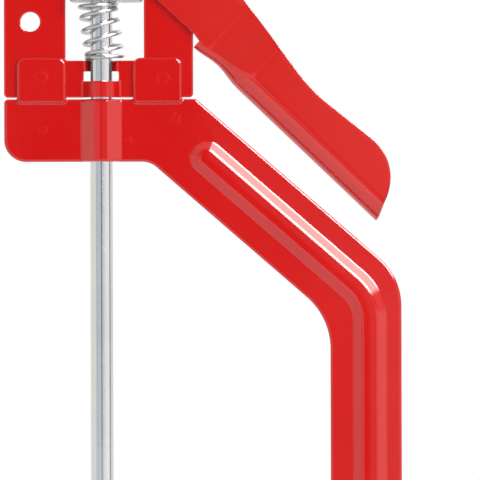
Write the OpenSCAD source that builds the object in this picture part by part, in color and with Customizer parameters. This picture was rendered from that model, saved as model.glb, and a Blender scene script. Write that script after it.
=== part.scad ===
// Quick release bar clamp: a pressed C-frame with a sliding rod, driven by a squeeze trigger.
// +Z runs up along the rod, +X points to the arm of the frame and -Y is the front.
// The origin is the centre of the fixed jaw's face, on the axis of the rod.

/* [Rod] */
// Diameter of the sliding rod
rod_d = 9.5; // [8:0.5:10]
// Length of the rod at full diameter
rod_len = 315; // [305:5:335]
// Radial running clearance of the rod in its guides
rod_fit = 0.08; // [0.05:0.01:0.1]
// Gap between the two jaw faces in the pose shown
jaw_gap = 12; // [5:1:25]
// Diameter of the knob on the rod
knob_d = 20; // [18:1:24]
// Height of the knob on the rod
knob_h = 20; // [16:1:24]
// Least height of the knob above the release lever
knob_clear = 12; // [11:1:16]
// Diameter of the pin through the knob
knob_pin_d = 3; // [2:0.5:4]

/* [Frame] */
// Largest space between the fixed jaw's face and the head of the frame
opening = 180.8; // [170:1:200]
// Distance from the rod's axis to the inner edge of the arm
throat = 96.4; // [85:0.1:110]
// Width of the arm
arm_w = 30; // [27:0.5:34]
// Height of the head, which guides the rod
head_h = 26.3; // [24:0.1:30]
// Reach of the head to the left of the rod's axis
head_left = 41; // [39:0.5:45]
// Reach of the head to the right of the rod's axis
head_right = 38.8; // [38:0.2:41]
// Slope of the frame between the head and the arm
slope = 41; // [38:0.5:44]
// Width of the sloping part
slope_w = 32.6; // [30:0.2:35]
// Height of the lower jaw
jaw_h = 31; // [29:0.5:36]
// Thickness of each pressed half
sheet_t = 1.8; // [1.4:0.1:2.2]
// Outer radius of the lower corner
corner_r = 38; // [34:1:42]

/* [Stiffening bead] */
// Width of the bead at its foot
bead_w = 14.6; // [12:0.2:16]
// Width of the flat top of the bead
bead_top_w = 5; // [4:0.2:6]
// Height of the bead above the sheet
bead_h = 3; // [2.4:0.1:5]
// Distance from the outer edge of the arm to the middle of the bead
bead_inset = 13.4; // [12:0.2:15]
// Distance from the outer edge of the slope to the middle of the bead
bead_slope_inset = 15.6; // [14:0.2:18]

/* [Tabs of the frame] */
// Width of each tab that holds the mechanism plate
tab_w = 20.6; // [16:0.2:21]
// Height of the tabs above the head
tab_h = 17.5; // [14:0.5:20]
// Distance from the rod's axis to the near edge of the left tab
tab_left = 14.9; // [14:0.1:17]
// Distance from the rod's axis to the near edge of the right tab
tab_right = 13.4; // [13:0.1:15]

/* [Mechanism plate] */
// Thickness of the mechanism plate
plate_t = 3; // [2.5:0.1:3.4]
// Slit between the head and the mechanism plate
slit = 1; // [0.8:0.1:2]
// Height of each loop that passes in front of the rod
front_loop_h = 7.2; // [6:0.2:8]
// Height of the open slot between two loops
loop_slot_h = 3.4; // [2.5:0.1:4]
// Corner radius of the open slots
slot_r = 1.1; // [0.8:0.1:1.2]
// Height of each loop that passes behind the rod
rear_loop_h = 4.8; // [4:0.2:6]
// Thickness of the stretched loops
loop_t = 2.8; // [2.2:0.1:3]
// Height of the window
window_h = 58.9; // [56:0.5:62]
// Reach of the window to the left of the rod's axis
window_left = 15; // [14.8:0.1:17]
// Reach of the window to the right of the rod's axis
window_right = 18; // [17.8:0.1:18.4]
// Diameter of the hanging hole
hang_d = 8.2; // [6:0.2:9]
// Height of the hanging hole above the window's lower edge
hang_rise = 16.4; // [12:0.1:40]

/* [Drive] */
// Length of the drive spring at rest
spring_len = 24.9; // [23:0.1:27]
// Outer diameter of the drive spring
spring_d = 17.1; // [16.5:0.1:18]
// Diameter of the drive spring's wire
wire_d = 1.7; // [1.5:0.1:1.9]
// Number of curls in the drive spring
spring_curls = 5.1; // [4.6:0.1:5.3]
// Tilt of the drive spring's curls
coil_tilt = 8.5; // [0:0.5:9]
// Thickness of the drive plate
drive_t = 3; // [2.5:0.5:3.5]
// Depth of the drive plate from front to back
drive_depth = 18; // [16:0.5:20]
// Gap between the drive plate and the window on the left
drive_gap = 2; // [1.5:0.1:2.5]

/* [Trigger] */
// Height of the trigger's pivot above the drive plate
pivot_rise = 12.4; // [11.5:0.1:13]
// Diameter of the trigger's pivot rivet
pivot_d = 6; // [5:0.5:7]
// Radial running clearance of the trigger on its rivet
pivot_fit = 0.05; // [0.03:0.01:0.1]
// Radius of the trigger's nose
nose_r = 5.1; // [4.6:0.1:5.2]
// Angle of the trigger's grip below the horizontal
grip_angle = 43.7; // [42:0.1:45]
// Distance from the pivot to the line of the grip
grip_drop = 17.9; // [17:0.1:18.5]
// Distance along the grip from the pivot to its tip
grip_end = 137.9; // [125:0.5:145]
// Half the width of the grip
grip_half_w = 8.4; // [7.5:0.1:9]
// Thickness of the trigger's sheet
trigger_t = 1.8; // [1.4:0.1:1.9]
// Side gap between moving flat faces
side_gap = 0.3; // [0.2:0.05:0.4]

/* [Handle] */
// Angle of the handle below the horizontal
handle_angle = 10.5; // [9:0.5:12]
// Length of the handle
handle_len = 108; // [100:1:116]
// Height of the handle at its root
handle_h = 27; // [26:0.5:29]
// Height of the handle at its tip
handle_tip_h = 24; // [22:0.5:26]
// Half the width of the handle
handle_half_w = 9.5; // [9:0.1:11]
// Thickness of the handle's sheet
handle_t = 1.6; // [1.4:0.1:2]
// Length of the tang inside the handle
tang_len = 44; // [42:0.5:50]
// Diameter of the handle's rivets
handle_rivet_d = 4; // [3:0.5:5]
// Outer diameter of the bushes on the handle's rivets
bush_d = 8; // [7:0.5:9]

/* [Release lever] */
// Height of the release lever's hooked end above the mechanism plate
release_rise = 6.4; // [6.2:0.1:7]
// Distance from the rod's axis to the hooked end of the release lever
release_reach = 27; // [26:0.5:28]
// Length of the release lever to the right of the rod's axis
release_len = 44; // [40:1:48]
// Height of the release lever's post above the mechanism plate
post_h = 20; // [18:1:24]
// Width of the release lever
release_w = 17; // [15:0.5:20]
// Thickness of the release lever
release_t = 3; // [2.5:0.1:3.2]
// Tilt of the release lever at rest
release_tilt = 8; // [7:0.5:8.5]
// Diameter of the release spring's wire
release_wire_d = 1.1; // [0.9:0.1:1.2]
// Outer diameter of the release spring
release_spring_d = 14; // [13:0.2:15]

/* [Jaws] */
// Diameter of the soft faces of both jaws
pad_d = 28; // [24:1:32]
// Thickness of the soft faces
pad_t = 3; // [2:0.5:4]
// Thickness of the metal discs behind the soft faces
disc_t = 4; // [3:0.5:5]
// Diameter of the rod's ball end
ball_d = 9; // [8:0.2:9.4]
// Diameter of the neck above the ball
neck_d = 5.4; // [4.6:0.2:5.6]
// Diameter of the fixed jaw's stem
stem_d = 16; // [14:0.5:18]
// Diameter of the fixed jaw's rivet
jaw_rivet_d = 5; // [4:0.5:6]

/* [Hidden] */
$fn = 64;
// Small overlap that makes a cut pass clear through a face
cut = 1;
rod_r = rod_d / 2;
guide_r = rod_r + rod_fit;

// Heights of the frame and of the mechanism plate
head_top = opening + head_h;
plate_bot = head_top + slit;
guide_h = front_loop_h + loop_slot_h + rear_loop_h;
window_bot = plate_bot + guide_h;
window_top = window_bot + window_h;
plate_top = window_top + guide_h;
half_plate = plate_t / 2;
strip_mid_x = (window_right + head_right) / 2;

// Outline of the frame
arm_out = throat + arm_w;
jaw_top = -pad_t - disc_t;
jaw_bot = jaw_top - jaw_h;
jaw_tip = 15;
slope_start = [head_right + 1.2, head_top];
outer_line = slope_start.x * sin(slope) + slope_start.y * cos(slope);
inner_line = outer_line - slope_w;
bead_line = outer_line - bead_slope_inset;
outer_bend_r = 27;
inner_bend_r = 29;
inner_corner_r = 16;
edge_r = 1.7;

// Path of the bead, from its head beside the rod to its end beside the fixed jaw
bead_x = arm_out - bead_inset;
bead_z = jaw_bot + bead_inset;
bead_bend_r = 20;
bead_corner_r = corner_r - bead_inset;
bead_head = on_line(bead_line, head_right + 5.7);
bead_bend = on_line(bead_line, bead_x);
bend_trim = bead_bend_r * tan((90 - slope) / 2);
bead_end_clear = 18;
bead_end_x = stem_d / 2 + bead_end_clear;

// Channel of the head round the rod
channel_r = rod_r + 0.4;

// Handle: its own frame starts at the middle of its open root
handle_x = head_right - 0.8;
handle_z = plate_top - handle_h / 2 - 0.1;
tang_top = handle_h / 2 - handle_t - 0.4;
tang_low = 9;
rivet_stations = [[14, -0.5], [36, -0.5]];

// Trigger and drive
drive_bot = window_bot + spring_len;
drive_top = drive_bot + drive_t;
pivot_x = strip_mid_x;
pivot_z = drive_top + pivot_rise;
nose_gap = 0.3;
nose_x = -16;
nose_z = nose_gap + nose_r - pivot_rise;
pinch_half_w = half_plate + side_gap + trigger_t;
stop_gap = 0.15;
web_start = (head_right - pivot_x + stop_gap + grip_drop * sin(grip_angle)) / cos(grip_angle);
pinch_end = web_start + 5;
swell_end = pinch_end + 22;
// Each ear is this much inside the faces of the folded walls that it runs into
seam = 0.03;
washer_t = 0.8;
washer_d = pivot_d + 7;

// Release lever and its post
release_x = -release_reach;
release_z = plate_top + release_rise;
post_w = 12;
post_shoulder = 6;
notch_depth = 5;
post_right = release_x + post_w / 4;
post_left = post_right - post_w;
post_top = plate_top + post_h;
notch_half = release_t / 2 + 0.45;
release_hole_d = rod_d + 0.9;
under_lever = release_z + release_reach * tan(release_tilt) - release_t / 2 / cos(release_tilt);

// Rod, moving jaw and knob
pad_r = pad_d / 2;
pad_rim = 1.2;
disc_r = pad_r - pad_rim;
rim_h = 2.5;
ball_r = ball_d / 2;
ball_gap = 0.3;
socket_r = ball_r + ball_gap;
ring_wire_r = 0.8;
ring_r = socket_r - 0.5;
ring_reach = ball_r + ball_gap + ring_wire_r;
cup_h = disc_t + ball_r - 1 + sqrt(ring_reach * ring_reach - ring_r * ring_r) + ring_wire_r + 1;
neck_gap = 2;
knob_overhang = 3;
// The rod stands as low as the gap between the jaws asks, but never with its knob on the lever
knob_rest = release_z + (release_reach + knob_d / 2) * tan(release_tilt) + release_t / 2 + knob_clear;
knob_reach = pad_t + cup_h + neck_gap + rod_len + knob_overhang - knob_h;
cup_z = pad_t + max(jaw_gap, knob_rest - knob_reach);
ball_z = cup_z + disc_t + ball_r - 1;
cup_top = cup_z + cup_h;
ring_z = cup_top - ring_wire_r - 1;
boss_r = socket_r + 3.2;
rod_bot = cup_top + neck_gap;
rod_top = rod_bot + rod_len;
knob_bot = rod_top - knob_h + knob_overhang;
knob_pin_z = knob_bot + knob_h * 0.45;

// Point at x on a sloping line of the frame
function on_line(line, x) = [x, (line - x * sin(slope)) / cos(slope)];
// Place where a sloping line of the frame reaches height z
function at_height(line, z) = [(line - z * cos(slope)) / sin(slope), z];

// Outline whose corners [x, y, radius] are rounded with arcs
function unit(v) = v / norm(v);
function corner_arc(before, at, after, r) = r == 0 ? [at] :
    let (d1 = unit(before - at), d2 = unit(after - at),
        half = acos(d1 * d2) / 2,
        centre = at + unit(d1 + d2) * r / sin(half),
        from = at + d1 * r / tan(half) - centre,
        to = at + d2 * r / tan(half) - centre,
        a1 = atan2(from.y, from.x),
        turn = (atan2(to.y, to.x) - a1 + 540) % 360 - 180,
        steps = max(3, ceil(abs(turn) * r / 170)))
    [for (i = [0:steps]) centre + r * [cos(a1 + turn * i / steps), sin(a1 + turn * i / steps)]];
function round_path(p) = let (n = len(p), xy = [for (q = p) [q.x, q.y]])
    [for (i = [0:n - 1]) each corner_arc(xy[(i + n - 1) % n], xy[i], xy[(i + 1) % n], p[i].z)];

// Flat sheet drawn in X and Z, from y = back forwards by its thickness
module sheet(back, thickness) {
    translate([0, back, 0]) rotate([90, 0, 0]) linear_extrude(thickness) children();
}

// Axis along Y at a place in X and Z, with its length centred on y = 0
module cross_cylinder(x, z, r, length) {
    translate([x, 0, z]) rotate([90, 0, 0]) cylinder(r = r, h = length, center = true);
}

// ---- Frame ----

module frame_outline() {
    slope_end = at_height(inner_line, opening);
    outer_bend = on_line(outer_line, arm_out);
    inner_bend = on_line(inner_line, throat);
    polygon(round_path([
        [-head_left, head_top, edge_r],
        [-head_left, opening, 9.3],
        [slope_end.x, slope_end.y, 9],
        [inner_bend.x, inner_bend.y, inner_bend_r],
        [throat, jaw_top, inner_corner_r],
        [-jaw_tip, jaw_top, 3],
        [-jaw_tip, jaw_bot, 16],
        [arm_out, jaw_bot, corner_r],
        [outer_bend.x, outer_bend.y, outer_bend_r],
        [slope_start.x, slope_start.y, 2]]));
}

// Half of the bead's cross-section, from its middle to its foot, for a wall set in by inset
function bead_flank(inset) = let (foot = bead_w / 2 - inset, top = bead_top_w / 2 - inset / 4)
    [for (i = [0:8]) [foot - (foot - top) * i / 8, bead_h * (1 - cos(180 * i / 8)) / 2]];
function bead_section(inset, base, lift) = let (flank = bead_flank(inset))
    concat([[-flank[0].x, base], [flank[0].x, base]], [for (p = flank) [p.x, p.y + lift]],
        [for (i = [8:-1:0]) [-flank[i].x, flank[i].y + lift]]);
function bead_half_section(inset, base, lift) = let (flank = bead_flank(inset))
    concat([[0, base], [flank[0].x, base]], [for (p = flank) [p.x, p.y + lift]],
        [[0, flank[8].y + lift]]);

module bead_run(from, to) {
    along = to - from;
    translate([from.x, from.y, 0]) rotate([0, 0, atan2(along.y, along.x)]) rotate([90, 0, 90])
        linear_extrude(norm(along)) children();
}

module bead_turn(centre, r, start, sweep) {
    translate([centre.x, centre.y, 0]) rotate([0, 0, start])
        rotate_extrude(angle = sweep, $fn = 96) translate([r, 0]) children();
}

// The whole bead on a flat sheet, standing up along Z
module bead(inset, base, lift) {
    down = [cos(slope), -sin(slope)];
    turn_start = bead_bend - down * bend_trim;
    turn_end = [bead_x, bead_bend.y - bend_trim];
    corner_start = [bead_x, bead_z + bead_corner_r];
    corner_end = [bead_x - bead_corner_r, bead_z];
    bead_end = [bead_end_x, bead_z];
    bead_run(bead_head, turn_start) polygon(bead_section(inset, base, lift));
    bead_turn([bead_x - bead_bend_r, turn_end.y], bead_bend_r, 0, 90 - slope)
        polygon(bead_section(inset, base, lift));
    bead_run(turn_end, corner_start) polygon(bead_section(inset, base, lift));
    bead_turn([bead_x - bead_corner_r, bead_z + bead_corner_r], bead_corner_r, -90, 90)
        polygon(bead_section(inset, base, lift));
    bead_run(corner_end, bead_end) polygon(bead_section(inset, base, lift));
    for (p = [[bead_head, 90 - slope], [bead_end, 90]])
        bead_turn(p[0], 0, p[1], 180) polygon(bead_half_section(inset, base, lift));
}

// Tab that steps forward over the mechanism plate
module tab(x) {
    joggle = head_top - 2;
    top = head_top + tab_h;
    step = half_plate;
    intersection() {
        translate([x, 0, 0]) rotate([90, 0, 90]) linear_extrude(tab_w) polygon([
            [0, joggle - 2], [0, joggle], [-step, joggle + 1.6], [-step, top],
            [-step - sheet_t, top], [-step - sheet_t, joggle + 0.9], [-sheet_t, joggle - 0.7],
            [-sheet_t, joggle - 2]]);
        sheet(cut, sheet_t + step + 2 * cut) polygon(round_path([
            [x, joggle - 3, 0], [x + tab_w, joggle - 3, 0],
            [x + tab_w, top, 3], [x, top, 3]]));
    }
}

module frame_half() {
    difference() {
        union() {
            sheet(0, sheet_t) frame_outline();
            tab(-tab_left - tab_w);
            tab(tab_right);
            intersection() {
                translate([0, 0, opening]) cylinder(r = channel_r + sheet_t, h = head_h);
                translate([-rod_d * 2, -rod_d * 2, opening]) cube([rod_d * 4, rod_d * 2, head_h]);
            }
            rotate([90, 0, 0]) bead(0, 0, sheet_t);
        }
        translate([0, 0, opening - cut]) cylinder(r = channel_r, h = head_h + 2 * cut);
        rotate([90, 0, 0]) bead(sheet_t * 0.8, -cut, 0);
        cross_cylinder(0, jaw_rivet_z(), jaw_rivet_d / 2, 4 * sheet_t);
    }
}

module frame_front() {
    color("firebrick") frame_half();
}

module frame_rear() {
    color("firebrick") mirror([0, 1, 0]) frame_half();
}

// ---- Mechanism plate ----

// Point of the handle's own frame, s along it and n upwards
function handle_point(s, n, r) = [
    handle_x + s * cos(handle_angle) + n * sin(handle_angle),
    handle_z - s * sin(handle_angle) + n * cos(handle_angle), r];

module mechanism_outline() {
    root = handle_point(0, -tang_low, 0);
    polygon(round_path([
        [-head_left, plate_bot, edge_r],
        [head_right, plate_bot, edge_r],
        [head_right, root.y - (head_right - root.x) * tan(handle_angle), 2.5],
        handle_point(tang_len, -tang_low, 5),
        handle_point(tang_len, tang_top, 5),
        handle_point(2, tang_top, 2),
        [head_right - 2, plate_top, 1],
        [post_right, plate_top, 1.5],
        [post_right, release_z - notch_half, 0],
        [post_right - notch_depth, release_z - notch_half, 0.8],
        [post_right - notch_depth, release_z + notch_half, 0.8],
        [post_right, release_z + notch_half, 0],
        [post_right, post_top, 4],
        [post_left, post_top, 4],
        [-head_left, plate_top - post_shoulder, 8]]));
}

// Strip of the plate pressed out round one side of the rod: side is -1 in front, 1 behind
module loop(z, h, side) {
    difference() {
        intersection() {
            translate([0, 0, z]) cylinder(r = guide_r + loop_t, h = h);
            translate([-rod_d * 2, side < 0 ? -rod_d * 2 : 0, z]) cube([rod_d * 4, rod_d * 2, h]);
        }
        translate([0, 0, z - cut]) cylinder(r = guide_r, h = h + 2 * cut);
    }
}

module guide(low, first, first_h, second_h) {
    loop(low, first_h, first);
    loop(low + first_h + loop_slot_h, second_h, -first);
}

module mechanism_plate() {
    slot_half = guide_r + loop_t - 0.3;
    color("firebrick") {
        difference() {
            sheet(half_plate, plate_t) mechanism_outline();
            sheet(plate_t, 2 * plate_t) polygon(round_path([
                [-window_left, window_bot, edge_r], [window_right, window_bot, edge_r],
                [window_right, window_top, edge_r], [-window_left, window_top, edge_r]]));
            for (z = [plate_bot, window_top])
                translate([-guide_r, -plate_t, z - cut]) cube([2 * guide_r, 2 * plate_t, guide_h + 2 * cut]);
            for (z = [plate_bot + front_loop_h, window_top + rear_loop_h])
                sheet(plate_t, 2 * plate_t) polygon(round_path([
                    [-slot_half, z, slot_r], [slot_half, z, slot_r],
                    [slot_half, z + loop_slot_h, slot_r], [-slot_half, z + loop_slot_h, slot_r]]));
            cross_cylinder(-(head_left + window_left) / 2 - 1.9, window_bot + hang_rise, hang_d / 2, 3 * plate_t);
            cross_cylinder(pivot_x, pivot_z, pivot_d / 2, 3 * plate_t);
            for (p = rivet_stations)
                cross_cylinder(handle_point(p.x, p.y, 0).x, handle_point(p.x, p.y, 0).y,
                    handle_rivet_d / 2, 3 * plate_t);
        }
        guide(plate_bot, -1, front_loop_h, rear_loop_h);
        guide(window_top, 1, rear_loop_h, front_loop_h);
    }
}

// ---- Handle ----

module handle_frame() {
    translate([handle_x, 0, handle_z]) rotate([0, handle_angle, 0]) children();
}

// Folded sheet seen from its end: a round back at the top and two walls below it
module folded_section(half_w, top, low) {
    translate([0, top - half_w]) circle(r = half_w);
    translate([-half_w, low]) square([2 * half_w, top - half_w - low]);
}

module handle() {
    top = handle_h / 2;
    color("firebrick") handle_frame() difference() {
        intersection() {
            rotate([90, 0, 90]) linear_extrude(handle_len) folded_section(handle_half_w, top, -top);
            sheet(handle_half_w + cut, 2 * (handle_half_w + cut)) polygon(round_path([
                [0, -top, 6], [handle_len, top - handle_tip_h, 10],
                [handle_len, top, 9], [0, top, 0]]));
        }
        translate([-cut, 0, 0]) rotate([90, 0, 90]) linear_extrude(handle_len + 2 * cut)
            folded_section(handle_half_w - handle_t, top - handle_t, -top - cut);
        for (p = rivet_stations)
            cross_cylinder(p.x, p.y, handle_rivet_d / 2, 3 * handle_half_w);
    }
}

// Round-headed rivet along Y whose heads rest on faces at y = -grip and y = grip
module rivet(r, grip, head_r, head_h) {
    shoulder = head_r * 0.55;
    rotate([90, 0, 0]) rotate_extrude() polygon([[0, -grip - head_h], [shoulder, -grip - head_h],
        [head_r * 0.85, -grip - head_h * 0.6], [head_r, -grip], [r, -grip], [r, grip], [head_r, grip],
        [head_r * 0.85, grip + head_h * 0.6], [shoulder, grip + head_h], [0, grip + head_h]]);
}

module handle_rivets() {
    color("silver") handle_frame() for (p = rivet_stations)
        translate([p.x, 0, p.y]) rivet(handle_rivet_d / 2, handle_half_w, handle_rivet_d * 0.9, 1.6);
}

module handle_bushes() {
    length = handle_half_w - handle_t - half_plate;
    color("silver") handle_frame() for (p = rivet_stations, side = [-1, 1])
        translate([p.x, side * (half_plate + length / 2), p.y]) rotate([90, 0, 0]) difference() {
            cylinder(d = bush_d, h = length, center = true);
            cylinder(d = handle_rivet_d, h = length + 2 * cut, center = true);
        }
}

// ---- Trigger and drive ----

module grip_frame() {
    translate([pivot_x, 0, pivot_z]) rotate([0, grip_angle, 0]) translate([0, 0, -grip_drop]) children();
}

// Point of the grip's own frame, seen from the pivot
function grip_point(t, n) = let (m = n - grip_drop)
    [t * cos(grip_angle) + m * sin(grip_angle), -t * sin(grip_angle) + m * cos(grip_angle)];

// Half width of the folded trigger at t along the grip
function grip_half(t) = let (u = max(0, min(1, (t - pinch_end) / (swell_end - pinch_end))))
    pinch_half_w + (grip_half_w - pinch_half_w) * u * u * (3 - 2 * u);

// Open edge of the grip's walls [along, up], from the root to the start of the square tip
function grip_edge() = let (tip = [grip_end - 3.3, 9])
    concat([for (i = [0:8]) grip_edge_start() + (grip_edge_dip() - grip_edge_start()) * i * 0.07],
        corner_arc(grip_edge_start(), grip_edge_dip(), grip_edge_end(), 75),
        corner_arc(grip_edge_dip(), grip_edge_end(), [grip_end, 0], 21), [tip]);
function grip_edge_start() = [web_start, 29.5];
function grip_edge_dip() = [grip_end - 57.9, 20.9];
function grip_edge_end() = [grip_end - 9.6, 25.1];

// Ring of the folded sheet, outer face first, on a line from the web up to the open edge.
// The lines stand square to the web until they fan out over the tip.
function fold_ring(edge) = let (fan = grip_end - 33,
        foot = edge.x < fan ? edge.x : fan + (edge.x - fan) * 33 / 29.7,
        w = grip_half(foot), v = w - trigger_t, lean = (edge.x - foot) / edge.y)
    [for (p = concat([[-w, edge.y]], [for (i = [0:12]) [-w * cos(15 * i), w - w * sin(15 * i)]],
            [[w, edge.y], [v, edge.y]],
            [for (i = [12:-1:0]) [-v * cos(15 * i), w - v * sin(15 * i)]], [[-v, edge.y]]))
        [foot + lean * p.y, p.x, p.y]];

module folded_grip() {
    edge = grip_edge();
    n = 30;
    last = len(edge) - 1;
    polyhedron(
        points = [for (e = edge) each fold_ring(e)],
        faces = concat(
            [for (i = [0:last - 1], k = [0:n - 1])
                [i * n + k, (i + 1) * n + (k + 1) % n, i * n + (k + 1) % n]],
            [for (i = [0:last - 1], k = [0:n - 1])
                [i * n + k, (i + 1) * n + k, (i + 1) * n + (k + 1) % n]],
            [for (k = [0:n / 2 - 2]) [k, k + 1, n - 2 - k, n - 1 - k]],
            [for (k = [0:n / 2 - 2])
                [last * n + k, last * n + n - 1 - k, last * n + n - 2 - k, last * n + k + 1]]));
}

// Side view of one ear, with its nose and the lobe over the pivot, seen from the pivot
module ear_outline() {
    inner = grip_point(pinch_end, 3);
    outer = grip_point(pinch_end, 29);
    web = grip_point(web_start, pinch_half_w);
    polygon(round_path([
        [inner.x, inner.y, 0], [outer.x, outer.y, 0], [24.5, -1, 20], [15, 13, 14], [1, 19.5, 12],
        [-13.5, 13.5, 10], [nose_x - nose_r, nose_z, 3],
        [nose_x, nose_z - 2, 0], [-6, -13.6, 0], [web.x - 2.5, web.y + 3.3, 1], [web.x, web.y, 0]]));
    translate([nose_x, nose_z]) circle(r = nose_r);
}

module trigger() {
    color("firebrick") {
        grip_frame() folded_grip();
        difference() {
            for (back = [-half_plate - side_gap - seam, pinch_half_w - seam])
                translate([pivot_x, 0, pivot_z]) sheet(back, trigger_t - 2 * seam) ear_outline();
            cross_cylinder(pivot_x, pivot_z, pivot_d / 2 + pivot_fit, 4 * pinch_half_w);
        }
    }
}

module trigger_washers() {
    inner = pinch_half_w + side_gap / 2;
    color("silver") for (side = [-1, 1])
        translate([pivot_x, side * (inner + washer_t / 2), pivot_z]) rotate([90, 0, 0]) difference() {
            cylinder(d = washer_d, h = washer_t, center = true);
            cylinder(d = pivot_d, h = washer_t + 2 * cut, center = true);
        }
}

module trigger_rivet() {
    color("silver") translate([pivot_x, 0, pivot_z])
        rivet(pivot_d / 2, pinch_half_w + side_gap / 2 + washer_t, pivot_d * 0.85, 2.2);
}

module drive_plate() {
    left = window_left - drive_gap;
    right = window_right - 0.6;
    half = drive_depth / 2;
    color("silver") difference() {
        translate([0, 0, drive_bot]) linear_extrude(drive_t) polygon(round_path([
            [-left, -half, 3], [right, -half, 3], [right, half, 3], [-left, half, 3]]));
        translate([0, 0, drive_bot - cut]) cylinder(r = guide_r, h = drive_t + 2 * cut);
    }
}

// Height of a spring's wire after c of its n curls, between z = 0 and z = rise
function curl_height(c, n, rise, wire) = let (dead = 0.8, close = wire + 0.5,
        open = (rise - 2 * dead * close) / (n - 2 * dead))
    c < dead ? c * close : c > n - dead ? rise - (n - c) * close : dead * close + (c - dead) * open;

// Points along a spring that may lean along X and tilt its curls, right side up, from a flat
// first curl to a last curl that is flat again or keeps the tilt
function spring_path(n, r, rise, wire, phase, lean, tilt, flat_top) = [for (i = [0:round(8 * n)])
    let (c = min(n, i / 8), a = phase + 360 * c, h = curl_height(c, n, rise, wire), u = h / rise,
        x = r * cos(a), share = min(1, 3 * u, flat_top ? 3 - 3 * u : 1))
    [x + lean * (0.5 - u), r * sin(a), h + x * tan(tilt) * share]];

// Least gap between curls: each point against every point more than half a curl away
function least_gap(path, wire) = min([for (i = [0:len(path) - 1], k = [i + 5:1:len(path) - 1])
    norm(path[i] - path[k])]) - wire;

// Round wire along a path, drawn as one tube with six sides
module wire(path, r) {
    n = len(path);
    function along(i) = unit(path[min(n - 1, i + 1)] - path[max(0, i - 1)]);
    ring = [for (i = [0:n - 1]) let (t = along(i), side = unit(cross(t, [0, 0, 1])), up = cross(side, t))
        for (k = [0:5]) path[i] + r * (cos(60 * k) * side + sin(60 * k) * up)];
    polyhedron(points = ring, faces = concat(
        [for (i = [0:n - 2], k = [0:5]) [i * 6 + k, (i + 1) * 6 + (k + 1) % 6, (i + 1) * 6 + k]],
        [for (i = [0:n - 2], k = [0:5]) [i * 6 + k, i * 6 + (k + 1) % 6, (i + 1) * 6 + (k + 1) % 6]],
        [[5, 4, 3, 2, 1, 0]], [[for (k = [0:5]) (n - 1) * 6 + k]]));
}

module drive_spring() {
    seat = 0.1;
    rise = spring_len - wire_d - 2 * seat;
    path = spring_path(spring_curls, (spring_d - wire_d) / 2, rise, wire_d, 150, 3,
        coil_tilt, true);
    echo(drive_spring_least_gap = least_gap(path, wire_d));
    color("silver") translate([0, 0, window_bot + seat + wire_d / 2]) wire(path, wire_d / 2);
}

// ---- Release lever ----

module release_frame() {
    translate([release_x, 0, release_z]) rotate([0, -release_tilt, 0]) children();
}

module release_lever() {
    hole_x = release_reach / cos(release_tilt);
    flat_end = hole_x + release_len * 0.6;
    tip = hole_x + release_len;
    lift = 5;
    half = release_w / 2;
    color("silver") release_frame() difference() {
        intersection() {
            rotate([90, 0, 0]) linear_extrude(release_w + cut, center = true) polygon(round_path([
                [-release_t / 2, -release_t / 2, release_t * 0.45], [flat_end, -release_t / 2, 8],
                [tip, lift - release_t / 2, 0], [tip - 1, lift + release_t / 2, 0],
                [flat_end - 1, release_t / 2, 6], [-release_t / 2, release_t / 2, release_t * 0.45]]));
            translate([0, 0, -10]) linear_extrude(30) polygon(round_path([
                [-release_t, -half + 2.5, 2], [hole_x - 10, -half, 6], [tip, -half, 7],
                [tip, half, 7], [hole_x - 10, half, 6], [-release_t, half - 2.5, 2]]));
        }
        translate([hole_x, 0, -release_t]) cylinder(d = release_hole_d, h = 2 * release_t);
    }
}

module release_spring() {
    seat = 0.15;
    r = (release_spring_d - release_wire_d) / 2;
    rise = under_lever - plate_top - release_wire_d / cos(release_tilt) - 2 * seat;
    path = spring_path(3.1, r, rise, release_wire_d, 0, 0, release_tilt, false);
    echo(release_spring_least_gap = least_gap(path, release_wire_d));
    color("silver") translate([0, 0, plate_top + seat + release_wire_d / 2])
        wire(path, release_wire_d / 2);
}

// ---- Rod and moving jaw ----

module rod() {
    chamfer = 0.8;
    color("silver") difference() {
        union() {
            translate([0, 0, rod_bot]) cylinder(r = rod_r, h = rod_len - chamfer);
            translate([0, 0, rod_top - chamfer]) cylinder(r1 = rod_r, r2 = rod_r - chamfer, h = chamfer);
            translate([0, 0, ball_z]) cylinder(d = neck_d, h = rod_bot - ball_z + cut);
            translate([0, 0, ball_z]) sphere(r = ball_r);
        }
        cross_cylinder(0, knob_pin_z, knob_pin_d / 2, 2 * rod_d);
    }
}

module rod_knob() {
    r = knob_d / 2;
    color("dimgray") difference() {
        translate([0, 0, knob_bot]) rotate_extrude() polygon(round_path([
            [0, 0, 0], [r * 0.72, 0, 1], [r * 0.72, 4, 1], [r, 7, 2],
            [r, knob_h - 1, 5], [0, knob_h, 0]]));
        translate([0, 0, knob_bot - cut]) cylinder(r = rod_r, h = rod_top - knob_bot + cut);
        cross_cylinder(0, knob_pin_z, knob_pin_d / 2, 2 * knob_d);
    }
}

module rod_knob_pin() {
    color("silver") cross_cylinder(0, knob_pin_z, knob_pin_d / 2, knob_d - 1);
}

module swivel_cup() {
    groove_r = socket_r + 0.6;
    color("silver") difference() {
        translate([0, 0, cup_z]) rotate_extrude() polygon(round_path([
            [0, 0, 0], [disc_r, 0, 0.5], [disc_r, disc_t - 1, 1], [boss_r + 1.5, disc_t + 0.6, 2],
            [boss_r, cup_top - cup_z, 0.8], [0, cup_top - cup_z, 0]]));
        translate([0, 0, ball_z]) sphere(r = socket_r);
        translate([0, 0, ball_z]) cylinder(r = socket_r, h = cup_top);
        translate([0, 0, ring_z]) cylinder(r = groove_r, h = 2 * ring_wire_r, center = true);
    }
}

module swivel_ring() {
    color("silver") translate([0, 0, ring_z]) rotate_extrude(angle = 330)
        translate([ring_r, 0]) circle(r = ring_wire_r, $fn = 24);
}

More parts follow.
